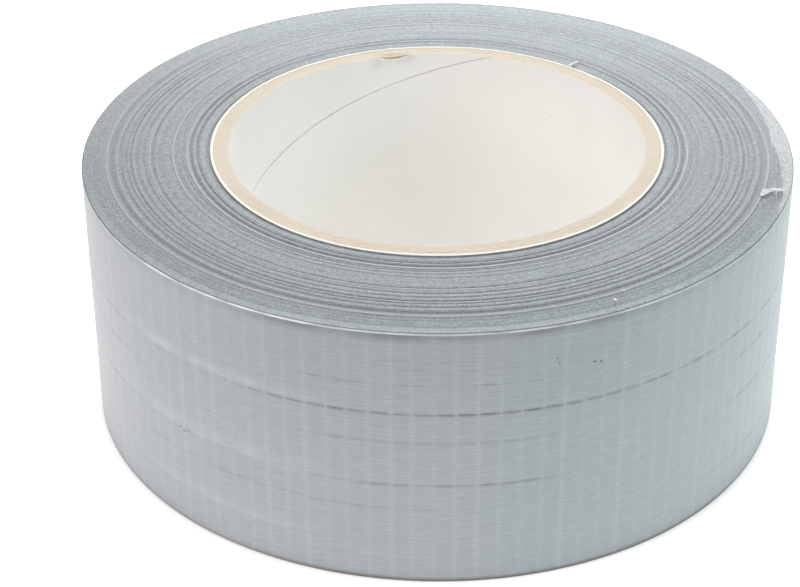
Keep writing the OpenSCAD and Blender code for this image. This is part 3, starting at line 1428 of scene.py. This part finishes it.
@dataclass
class WoundTape:
    """The wound strip under the last turn: one continuous ribbon, parted into the frame's lays."""

    strip: Strip
    edge: bpy.types.Material
    film: bpy.types.Material
    skin: FilmSkin
    stations: int = 300
    gap: float = 0.005 * MM
    wobble: float = 0.008 * MM
    settled: float = 0.16 * MM
    bared_from: float = 369.0
    flat_pucker: float = 0.004 * MM
    proud_share: float = 0.8
    sunk_share: float = 0.30
    rings: tuple[Ring, ...] = (
        Ring(41.9, -0.42, 2.4), Ring(42.7, 0.05, 1.6, 0.4), Ring(43.2, 0.08, 1.2, 0.6),
        Ring(43.9, -0.42, 2.2), Ring(44.4, 0.12, 1.3, 0.9), Ring(45.1, -0.42, 2.4),
        Ring(45.8, 0.14, 2.0, 1.0), Ring(46.7, -0.20, 2.0), Ring(47.6, -0.10, 2.5),
        Ring(48.35, 0.12, 1.6, 0.75), Ring(51.2, 0.03, 2.5, 0.2), Ring(52.05, -0.26, 2.2),
        Ring(52.6, 0.06, 1.8, 0.4), Ring(53.55, -0.28, 2.0), Ring(54.3, 0.04, 1.6, 0.3),
        Ring(54.8, -0.20, 1.5), Ring(55.5, 0.08, 1.6, 0.5), Ring(56.0, -0.26, 1.5),
        Ring(56.45, 0.04, 1.0, 0.3), Ring(56.8, -0.20, 1.3), Ring(57.25, 0.03, 1.0, 0.3),
        Ring(57.85, -0.32, 2.2), Ring(58.6, 0.06, 2.0, 0.45), Ring(59.5, -0.30, 4.0),
        Ring(60.4, 0.16, 2.0, 1.0), Ring(61.7, -0.08, 2.0), Ring(63.3, -0.08, 3.0),
    )

    def lays(self) -> list[tuple[str, int, int, float]]:
        """The lays from the core outwards.

        Returns:
            Node name, first turn, turn after the last, and height of the bottom edge, for each lay.
        """
        names = [n for n in frame["nodes"] if n.startswith("wound_tape_")]
        nodes = sorted(names, key=lambda name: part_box(name)[1][0])
        out, first = [], 0
        for node in nodes:
            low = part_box(node)[0]
            last = min(round((-low[0] - self.strip.core_r) / self.strip.pitch), self.strip.turns)
            out.append((node, first, last, low[2]))
            first = last
        return out

    def worn(self, polar: Array, radius_mm: Array) -> Array:
        """Where the outer turns' edges are rubbed white, in a patch on the +X side.

        Args:
            polar: polar angles of the stations.
            radius_mm: their radii.

        Returns:
            0 to 1 at each station.
        """
        rng = np.random.default_rng(66)
        away = np.abs((polar - 2.0 + 180.0) % 360.0 - 180.0)
        depth = 3.0 * np.clip(1.0 - away / 25.0, 0.0, 1.0) ** 0.75
        ragged = wander(rng, polar, 1.7) * 0.30 + wander(rng, polar, 0.5) * 0.12
        inner = 64.7 - depth + ragged * (depth > 0.02)
        return smoothstep(inner - 0.08, inner + 0.10, radius_mm) * (depth > 0.0)

    def profile(self, lays: list[tuple[str, int, int, float]]) -> tuple[Array, dict[str, Array]]:
        """How high each place of the ribbon stands, and how it is coloured.

        Args:
            lays: what lays() gives.

        Returns:
            Height of the bottom edge at each station of the whole ribbon, and the values "top" for the extra
            height of the top edge, "tone", "fray", "worn" and "groove".
        """
        count = self.strip.turns * self.stations + 1
        turn = np.arange(count) / self.stations
        polar = STEP_POLAR + turn * 360.0
        rng = np.random.default_rng(2024)
        middles = [(first + last) / 2 for _, first, last, _ in lays]
        bottoms = [bottom for *_, bottom in lays]
        bottoms[-1] += self.settled
        lift = np.interp(turn, middles, bottoms)
        sway = wander(rng, turn, 0.31) * 0.6 + wander(rng, turn, 1.7) * 0.7
        radius_mm = (self.strip.core_r + turn * self.strip.pitch) / MM
        top = self.wobble * sway
        fray = np.clip(wander(rng, turn, 0.4) - 0.6, 0, 1) * 0.4
        groove = np.zeros(count)
        calm_back = 1.0 - 0.75 * arc_window(polar, 10.0, 170.0, 45.0)
        for ring in self.rings:
            middle = (ring.radius_mm * MM - self.strip.core_r) / self.strip.pitch
            away = np.abs(turn - middle)
            inside = 1.0 - smoothstep(ring.turns * 0.25, ring.turns * 0.75 + 0.1, away)
            strength = (0.85 + 0.3 * wander(rng, polar, 70.0)) * calm_back
            share = self.proud_share if ring.lift_mm > 0 else self.sunk_share
            top = top + inside * ring.lift_mm * MM * strength * share
            fray = np.maximum(fray, inside * ring.fray * np.clip(strength, 0, 1))
            # Painted shade in the turns that lie below the face.
            groove = np.maximum(groove, inside * max(0.0, -ring.lift_mm) * 0.80 * strength)
        tone = np.clip(wander(rng, turn, 0.6) * 0.5 + wander(rng, turn, 3.1) * 0.7, -1, 1)
        # Painted shade on the ±X sides, and a painted highlight on the outer turns at the front.
        sides = np.cos(np.radians(polar)) ** 4
        front = np.clip(-np.sin(np.radians(polar)), 0.0, 1.0) ** 4 * smoothstep(60.8, 63.0, radius_mm)
        tone = tone - 1.2 * sides + 1.5 * front
        worn = self.worn(polar, radius_mm)
        top = top + worn * 0.04 * MM
        unworn = 1.0 - worn
        groove = np.clip(groove * unworn, 0, 0.8)
        return lift, {"top": top, "tone": tone, "fray": fray * unworn, "worn": worn, "groove": groove}

    def build(self) -> None:
        """Builds and settles each lay, and the film that the free end lies on."""
        lays = self.lays()
        lift, values = self.profile(lays)
        bare = self.strip.pitch - self.gap
        under_end = self.strip.turns - 0.30
        for node, first, last, _ in lays:
            part = slice(first * self.stations, last * self.stations + 1)
            turn = np.arange(part.start, part.stop) / self.stations
            polar = STEP_POLAR + 360.0 * turn
            thick = bare - (self.skin.thickness + self.gap) * smoothstep(under_end, under_end + 0.05, turn)
            bottom = np.maximum(lift[part] + values["top"][part] * 0.5, self.skin.bottom_gap)
            top = lift[part] + self.strip.width + values["top"][part]
            section = ((thick, bottom), (thick, top), (0.0, top), (0.0, bottom))
            rings = [self.strip.points(polar, out, height) for out, height in section]
            radius_mm = (self.strip.core_r + turn * self.strip.pitch) / MM
            along = np.radians(polar) * self.strip.wound_r / MM
            uv = np.stack([np.stack([along, radius_mm], -1)] * 4)
            shared = {name: values[name][part][None] for name in ("tone", "fray", "worn", "groove")}
            plan = sweep(np.stack(rings), False, shared, uv)
            settle(plan.build(node.replace("wound_tape", "wound_lay"), self.edge), "wound_edge", [node])
        thickness = self.skin.thickness
        skin = FilmSkin(self.strip, self.strip.pitch - thickness, thickness, pucker=self.flat_pucker)
        film = skin.stretch(self.bared_from, PATH_END, self.strip.turn_below)
        settle(film.build("film_under_free_end", self.film), "backing_film", [])


@dataclass
class Cloth:
    """The scrim: warp yarns along the tape and weft yarns across it, passing over and under."""

    strip: Strip
    base: float
    thickness: float
    warp_pitch: float = 0.735 * MM
    yarn_half: float = 0.13 * MM
    clear_end: float = 0.3
    section: tuple[tuple[float, float], ...] = (
        (1.0, 0.0), (0.5, 1.0), (-0.5, 1.0), (-1.0, 0.0), (-0.5, -1.0), (0.5, -1.0),
    )

    def warps(self, start: float, end: float, loose: Callable[[int], float] | None = None) -> MeshPlan:
        """Warp yarns over a stretch.

        Args:
            start: polar angle where the stretch starts.
            end: polar angle where it ends.
            loose: how far each yarn sticks out past the end, in metres.

        Returns:
            The yarns as one plan of separate closed strands.
        """
        wefts = self.strip.weft_polars()
        inside = wefts[(wefts > start + self.clear_end) & (wefts < end - self.clear_end)]
        polar = stations(inside, start, end, spacing(start, end, 0.5, 1.6), spacing(start, end, 0.2, 0.8))
        crossing = np.isin(polar, inside)
        number = np.searchsorted(wefts, polar)
        strands = []
        count = int(self.strip.width / self.warp_pitch)
        rng = np.random.default_rng(90)
        for yarn in range(count):
            height = (yarn + 0.5) * self.strip.width / count
            weave = np.where((number + yarn) % 2 == 0, 0.5, -0.5)
            over = np.where(crossing, weave, 0.0) * self.thickness * 0.4
            stretch = polar.copy()
            slack = np.zeros(len(polar))
            if loose is not None:
                extra = loose(yarn)
                tail = np.linspace(0.25, 1.0, 4)
                stretch = np.concatenate([stretch, end + np.degrees(extra * tail / self.strip.wound_r)])
                over = np.concatenate([over, tail * extra * rng.uniform(0.0, 0.45)])
                slack = np.concatenate([slack, tail ** 2 * extra * rng.uniform(-0.5, 0.5)])
            half = self.thickness * 0.36
            middle = self.base + self.thickness / 2 + over
            place = self.strip.last_turn(np.minimum(stretch, PATH_END))
            straight = np.zeros((len(stretch), 3))
            straight[:, 0] = -np.radians(np.maximum(stretch - PATH_END, 0.0)) * self.strip.wound_r
            rings = []
            for across, out in self.section[1:] + self.section[:1]:
                level = height - across * self.yarn_half + slack
                rings.append(self.strip.points(place, middle + half * out, level) + straight)
            strands.append(sweep(np.stack(rings), False))
        return reduce(MeshPlan.joined, strands)

    def wefts(self, start: float, end: float) -> MeshPlan:
        """Weft yarns over a stretch.

        Args:
            start: polar angle where the stretch starts.
            end: polar angle where it ends.

        Returns:
            The yarns as one plan of separate closed strands.
        """
        rows = np.linspace(0.02, 0.98, 36) * self.strip.width
        reach = math.degrees(self.yarn_half / self.strip.wound_r)
        strands = []
        for number, polar in enumerate(self.strip.weft_polars()):
            if not start + self.clear_end < polar < end - self.clear_end:
                continue
            weave = np.where((np.arange(len(rows)) + number) % 2 == 0, -0.5, 0.5) * self.thickness * 0.3
            middle = self.base + self.thickness / 2 + weave
            rings = []
            for side, out in self.section:
                place = self.strip.last_turn(np.full(len(rows), polar + side * reach))
                rings.append(self.strip.points(place, middle + self.thickness * 0.30 * out, rows))
            strands.append(sweep(np.stack(rings), False))
        return reduce(MeshPlan.joined, strands)


@dataclass
class AdhesiveCoat:
    """The rubber adhesive: a thin sheet whose face follows the cloth pressed into it."""

    strip: Strip
    base: float
    thickness: float
    margin: float = 0.04 * MM
    short: float = 0.15 * MM
    dimple: float = 0.006 * MM

    def stretch(
        self, start: float, end: float, clear: float, ragged: Callable[[Array], Array] | None = None
    ) -> MeshPlan:
        """One stretch of the coat as a closed thin sheet.

        Args:
            start: polar angle where it starts.
            end: polar angle where it ends.
            clear: air left under it.
            ragged: extra length at the end as a function of height, for a torn edge.

        Returns:
            The coat's plan.
        """
        wefts = self.strip.weft_polars()
        near = (wefts[:, None] + np.array([-0.25, 0.0, 0.25])).ravel()
        polar = stations(near, start, end, spacing(start, end, 0.5, 1.3), 0.2)[None]
        height = np.linspace(self.margin, self.strip.width - self.margin, 60)[:, None]
        place = self.strip.torn(polar, height, end, ragged, self.short)
        weft = (1.0 - smoothstep(0.0, 0.25 * MM, self.strip.from_weft(polar[0])))[None]
        inner = clear + self.dimple * (1.0 - weft) + np.zeros_like(height)
        faces = [
            self.strip.points(self.strip.last_turn(place), self.base + out, height)
            for out in (np.full_like(place, self.thickness), inner)
        ]
        uv = self.strip.tape_uv(place, height)
        return sweep(there_and_back(*faces), False, None, there_and_back(uv, uv))


@dataclass
class LastTurn:
    """The last turn that stays on the roll, as its three real layers."""

    film: bpy.types.Material
    yarn: bpy.types.Material
    glue: bpy.types.Material
    skin: FilmSkin
    cloth: Cloth
    coat: AdhesiveCoat

    def build(self, end: float) -> None:
        """Builds and settles the three layers up to the line where the free end starts.

        Args:
            end: polar angle of that line.
        """
        film = self.skin.stretch(STEP_POLAR + 0.001, end, self.skin.strip.last_turn)
        settle(film.build("last_turn_film", self.film), "backing_film", ["outer_turn_film"])
        yarns = self.cloth.warps(STEP_POLAR + 0.05, end).joined(self.cloth.wefts(STEP_POLAR, end))
        settle(yarns.build("last_turn_cloth", self.yarn), "scrim", ["outer_turn_scrim"])
        coat = self.coat.stretch(STEP_POLAR + 0.01, end, 0.0)
        settle(coat.build("last_turn_adhesive", self.glue), "adhesive", ["outer_turn_adhesive"])


@dataclass
class FreeEnd:
    """The free end: short lengths of film, cloth and adhesive, each from one hinge line to the next, the last to
    the torn end.
    """

    film: bpy.types.Material
    yarn: bpy.types.Material
    glue: bpy.types.Material
    skin: FilmSkin
    cloth: Cloth
    coat: AdhesiveCoat
    clear: float = 0.03 * MM
    sharp_bend: float = 6.5 * MM
    slow_bend: float = 10.5 * MM

    @staticmethod
    def hinges() -> list[dict]:
        """The frame's joints along the free end, from the roll outwards."""
        return sorted(frame["joints"], key=lambda joint: math.atan2(joint["pos_m"][1], joint["pos_m"][0]))

    def torn(self, height: Array) -> Array:
        """How far the torn edge runs past the end line.

        Args:
            height: heights in the strip's width.

        Returns:
            The distance at each height, below 0 where the edge falls short of the line.
        """
        rng = np.random.default_rng(55)
        rough = wander_to(rng, height, 1.1 * MM, self.skin.strip.width)
        slow = wander_to(rng, height, 9 * MM, self.skin.strip.width)
        return (rough * 0.22 + slow * 0.30 - 0.45) * MM

    def loose(self, yarn: int) -> float:
        """How far a warp yarn sticks out of the torn edge."""
        return (0.25 + 0.75 * ((yarn * 7919) % 13) / 13.0) * MM

    def build(self) -> None:
        """Builds and settles each length's three layers, from one hinge line to the next."""
        hinges = self.hinges()
        climb = self.skin.strip.pitch / 2
        lines = [math.degrees(math.atan2(j["pos_m"][1] - climb, j["pos_m"][0])) + 360.0 for j in hinges]
        lines.append(self.skin.strip.last_polar)
        for index, joint in enumerate(hinges):
            start, end = lines[index], lines[index + 1]
            last = index == len(hinges) - 1
            ragged = self.torn if last else None
            film = self.skin.stretch(start, end, self.skin.strip.last_turn, ragged)
            coat = self.coat.stretch(start, end, self.clear, ragged)
            warps = self.cloth.warps(start, end, self.loose if last else None)
            yarns = warps.joined(self.cloth.wefts(start, end))
            layers = (
                ("film", film, self.film, "backing_film"),
                ("scrim", yarns, self.yarn, "scrim"),
                ("adhesive", coat, self.glue, "adhesive"),
            )
            for label, plan, material, slot in layers:
                piece = plan.build(f"free_end_{label}_{index + 1}", material)
                settle(piece, slot, [f"tape_end_{label}_{index + 1}"], None)
                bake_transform(piece)


@dataclass
class Blemishes:
    """Small signs of handling: a flap and shreds at a rubbed edge, flecks of dust, and a stray fibre."""

    film: bpy.types.Material
    yarn: bpy.types.Material
    paper: bpy.types.Material
    face: float
    rim: float
    fluff: int = 12

    def shreds(self) -> None:
        """A small torn flap of film with some cotton fluff, where an outer turn's edge is rubbed through."""
        rng = np.random.default_rng(404)
        along, out = np.linspace(0, 1, 12), np.linspace(-1, 1, 7)
        polar = np.radians(340.7 + 3.6 * along + 0.5 * np.sin(along * 5.0))
        ragged = wander(rng, along, 0.12)
        width = (0.35 + 0.95 * along ** 0.7 + 0.28 * ragged) * MM
        middle = (60.3 + 2.9 * along ** 1.2 + 0.35 * wander(rng, along, 0.25)) * MM
        radius = middle[None] + out[:, None] * width[None]
        height = self.face + (0.10 + 0.22 * np.sin(along * 2.6)[None] * (0.6 - 0.4 * out[:, None])) * MM
        height = height + 0.05 * MM * wander(rng, along, 0.15)[None]
        upper = about_axis(radius, polar, height)
        lower = upper - np.array([0.0, 0.0, 0.05 * MM])
        flap = sweep(there_and_back(upper, lower), False, {"scuff": np.full((1, 1), 0.9)})
        settle(flap.build("torn_edge_flap", self.film), "backing_film", [])
        share = np.linspace(0, 1, 12)
        turn = np.radians(344.6 - 5.2 * share)
        curl = (63.3 - 0.5 * np.sin(share * 4.0)) * MM
        strip = about_axis(curl, turn, self.face + (0.04 + 0.12 * np.sin(share * 3)) * MM)
        strands = [fibre(strip, 0.11 * MM * (1.1 - share))]
        for _ in range(self.fluff):
            place = math.radians(rng.uniform(338.0, 345.0))
            start = (60.9 + rng.uniform(-0.6, 1.8)) * MM
            length = rng.uniform(0.4, 1.3) * MM
            heading = place + rng.uniform(-1.4, 1.4)
            share = np.linspace(0, 1, 6)
            bend = rng.uniform(-0.5, 0.5)
            x = start * math.cos(place) + length * share * np.cos(heading + bend * share)
            y = start * math.sin(place) + length * share * np.sin(heading + bend * share)
            z = self.face + (0.06 + 0.22 * share * rng.uniform(0.1, 1.0)) * MM
            strands.append(fibre(np.stack([x, y, z], -1), rng.uniform(0.03, 0.06) * MM * (1.0 - 0.6 * share)))
        settle(reduce(MeshPlan.joined, strands).build("torn_edge_shreds", self.yarn), "scrim", [])

    def flecks(self) -> None:
        """Two pale crumbs lying on the winding."""
        rng = np.random.default_rng(7)
        tilt = np.linspace(-math.pi / 2 + 0.25, math.pi / 2 - 0.25, 6)[:, None]
        turn = np.linspace(0, 2 * math.pi, 10, endpoint=False)[None]
        crumbs = []
        for polar_deg, radius_mm, size in ((297.8, 62.3, 0.34), (300.4, 60.6, 0.24)):
            centre = about_axis(radius_mm * MM, math.radians(polar_deg), self.face)
            lump = size * MM * (0.7 + 0.3 * rng.uniform(0, 1, (tilt.size, turn.size)))
            ball = about_axis(lump * np.cos(tilt), turn, lump * 0.6 * np.sin(tilt))
            crumbs.append(sweep(centre + ball, True))
        settle(reduce(MeshPlan.joined, crumbs).build("dust_flecks", self.paper), "white_ply", [])

    def rim_fibre(self) -> None:
        """A paper fibre that sticks out over the winding where the core's rim was cut."""
        share = np.linspace(0, 1, 12)
        polar = np.radians(51.4 - 0.5 * share + 0.15 * np.sin(share * 6))
        radius = (41.7 + 2.7 * share) * MM
        height = self.rim + (0.05 + 0.25 * np.sin(share * 2.6)) * MM
        size = 0.26 * MM * (1.05 - share ** 3) * (0.85 + 0.15 * np.cos(share * 9))
        strand = fibre(about_axis(radius, polar, height), size)
        settle(strand.build("rim_fibre", self.paper), "white_ply", [])

    def build(self) -> None:
        """Builds all of them."""
        self.shreds()
        self.flecks()
        self.rim_fibre()


@dataclass(frozen=True)
class SoftBox:
    """A soft square light: its name, where it hangs, its side, its watts and its tint."""

    name: str
    place: tuple[float, float, float]
    size: float
    watts: float
    tint: Colour


@dataclass
class Studio:
    """A white sweep, soft light from all round, and the camera."""

    ground: bpy.types.Material
    location: tuple[float, float, float] = (-0.0002, -0.3570, 0.2349)
    heading_deg: float = -1.077
    tilt_deg: float = -31.26
    level_deg: float = -0.30
    lens_mm: float = 97.9
    sensor_mm: float = 36.0
    sky: float = 0.56
    half_floor: float = 3.0
    floor_drop: float = 0.02 * MM
    aim: tuple[float, float, float] = (0.0, 0.0, 0.02)
    boxes: tuple[SoftBox, ...] = (
        SoftBox("left", (-0.69, -0.38, 0.45), 0.5, 3.3, (1.0, 0.90, 0.935)),
        SoftBox("right", (0.75, -0.20, 0.45), 0.5, 2.4, (0.86, 0.95, 1.0)),
        SoftBox("back", (0.03, 0.45, 0.22), 0.35, 2.2, (0.97, 0.99, 1.0)),
    )

    def camera(self) -> None:
        """Sets the camera up, looking along +Y and down."""
        data = bpy.data.cameras.new("camera")
        data.lens, data.sensor_width = self.lens_mm, self.sensor_mm
        data.clip_start, data.clip_end = 0.01, 20.0
        camera = bpy.data.objects.new("camera", data)
        bpy.context.scene.collection.objects.link(camera)
        heading, tilt, level = (math.radians(a) for a in (self.heading_deg, self.tilt_deg, self.level_deg))
        level_ahead = Vector((math.sin(heading), math.cos(heading), 0.0))
        forward = level_ahead * math.cos(tilt) + Vector((0.0, 0.0, math.sin(tilt)))
        right = Vector((math.cos(heading), -math.sin(heading), 0.0))
        up = right.cross(forward)
        side = right * math.cos(level) + up * math.sin(level)
        top = up * math.cos(level) - right * math.sin(level)
        axes = Matrix((side, top, -forward)).transposed().to_4x4()
        camera.matrix_world = Matrix.Translation(self.location) @ axes
        bpy.context.scene.camera = camera

    def floor(self) -> None:
        """Lays the white sweep under the roll."""
        half = self.half_floor
        corners = np.array([[-half, -half, 0], [half, -half, 0], [half, half, 0], [-half, half, 0]], float)
        floor = MeshPlan(corners, np.array([[0, 1, 2, 3]])).build("floor", self.ground)
        floor.location.z = -self.floor_drop

    def soft_light(self, box: SoftBox) -> None:
        """Adds a soft square light that faces the roll.

        Args:
            box: the light's facts.
        """
        data = bpy.data.lights.new(box.name, "AREA")
        data.size, data.energy, data.color = box.size, box.watts, box.tint
        light = bpy.data.objects.new(box.name, data)
        bpy.context.scene.collection.objects.link(light)
        light.location = box.place
        light.rotation_mode = "QUATERNION"
        light.rotation_quaternion = (Vector(self.aim) - Vector(box.place)).to_track_quat("-Z", "Y")

    def light(self) -> None:
        """Lights the roll from all round, with soft boxes behind it and on both sides in front."""
        world = bpy.data.worlds.new("studio")
        bpy.context.scene.world = world
        world.use_nodes = True
        sky = world.node_tree.nodes["Background"]
        sky.inputs["Color"].default_value = (1.0, 1.0, 1.0, 1.0)
        sky.inputs["Strength"].default_value = self.sky
        for box in self.boxes:
            self.soft_light(box)
        bpy.context.scene.view_settings.view_transform = "Standard"

    def build(self) -> None:
        """Builds the whole studio."""
        self.camera()
        self.floor()
        self.light()


# --------------------------------------------------------------------------------------------------

@dataclass
class TapeRoll:
    """The whole roll: finishes, path and sub-assemblies."""

    effects: Effects = field(default_factory=Effects)
    # Marks as polar angle, height, half length, half width and shade, with heights and halves in millimetres.
    film_spots: tuple[tuple[float, ...], ...] = (
        (293.4, 41.6, 0.42, 0.30, 0.05), (294.4, 41.4, 0.30, 0.30, 0.06), (287.6, 43.6, 0.30, 0.22, 0.10),
        (287.9, 42.7, 0.22, 0.45, 0.14), (228.1, 19.6, 0.45, 0.30, 0.11), (227.4, 20.1, 0.30, 0.26, 0.13),
        (229.0, 20.1, 0.60, 0.20, 0.16), (215.4, 30.5, 0.20, 0.18, 0.12), (262.0, 8.0, 0.15, 0.15, 0.14),
    )
    liner_smudges: tuple[tuple[float, ...], ...] = (
        (493.4, 38.6, 0.45, 0.40, 0.52), (492.2, 37.8, 0.30, 0.30, 0.56), (496.2, 37.2, 0.40, 0.30, 0.58),
        (413.5, 41.0, 0.22, 0.22, 0.50),
    )

    def strip(self) -> Strip:
        """The strip's path, worked out from the frame's boxes.

        Returns:
            The strip.
        """
        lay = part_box("wound_tape_8")
        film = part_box("outer_turn_film")
        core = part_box("core_outer_ply")[1][0]
        wound = -lay[0][0]
        return Strip(core, wound, -film[0][0] - wound, lay[1][2] - lay[0][2], TORN_END)

    def build(self) -> None:
        """Builds the roll from the core outwards."""
        strip = self.strip()
        fx = self.effects
        spots = tuple(Mark(float(strip.along_mm(polar)), *rest) for polar, *rest in self.film_spots)
        smudges = tuple(Mark(math.radians(polar) * BORE_R_MM, *rest) for polar, *rest in self.liner_smudges)
        film = BackingFilm("silver_film", fx, (0.304, 0.335, 0.346), 0.42, 0.18, marks=spots).material()
        edge = WoundEdge("slit_edges", fx, (0.262, 0.297, 0.306), 0.52, 0.36).material()
        liner = CutPaper(
            "liner_paper", fx, (0.77, 0.765, 0.73), 0.72, fibre_colour=(0.81, 0.80, 0.77),
            rim_colour=(0.70, 0.635, 0.54), marks=smudges,
        ).material()
        kraft = CutPaper(
            "kraft_board", fx, (0.70, 0.615, 0.50), 0.82, fibre_colour=(0.77, 0.71, 0.60), fibre_share=0.6,
            fibre_scale=(2.0, 2.0, 2.0), grain=0.10, cloud=0.05, relief_mm=0.06,
        ).material()
        white = CutPaper(
            "white_paper", fx, (0.90, 0.89, 0.80), 0.75, fibre_colour=(0.92, 0.91, 0.84)
        ).material()
        yarn = CottonYarn("cotton_yarn", fx, (0.68, 0.68, 0.66), 0.8).material()
        glue = TackyAdhesive("grey_adhesive", fx, (0.36, 0.36, 0.345), 0.35).material()
        ground = StudioGround("white_sweep", fx, (0.85, 0.85, 0.84), 0.8).material()

        Studio(ground).build()
        PaperCore(liner, kraft, white).build()
        coat_t = -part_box("outer_turn_adhesive")[0][0] - strip.wound_r
        cloth_top = -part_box("outer_turn_scrim")[0][0] - strip.wound_r
        skin = FilmSkin(strip, cloth_top, strip.thickness - cloth_top)
        cloth = Cloth(strip, coat_t, cloth_top - coat_t)
        coat = AdhesiveCoat(strip, 0.0, coat_t)
        WoundTape(strip, edge, film, skin).build()
        first = FreeEnd.hinges()[0]["pos_m"]
        free_line = math.degrees(math.atan2(first[1] - strip.pitch / 2, first[0])) + 360.0
        LastTurn(film, yarn, glue, skin, cloth, coat).build(free_line)
        FreeEnd(film, yarn, glue, skin, cloth, coat).build()
        Blemishes(film, yarn, white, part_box("wound_tape_6")[1][2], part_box("core_liner")[1][2]).build()


def main() -> None:
    """Builds the roll and its studio."""
    logging.basicConfig(level=logging.INFO, format="%(name)s: %(message)s")
    TapeRoll().build()


if __name__ == "__main__":
    main()
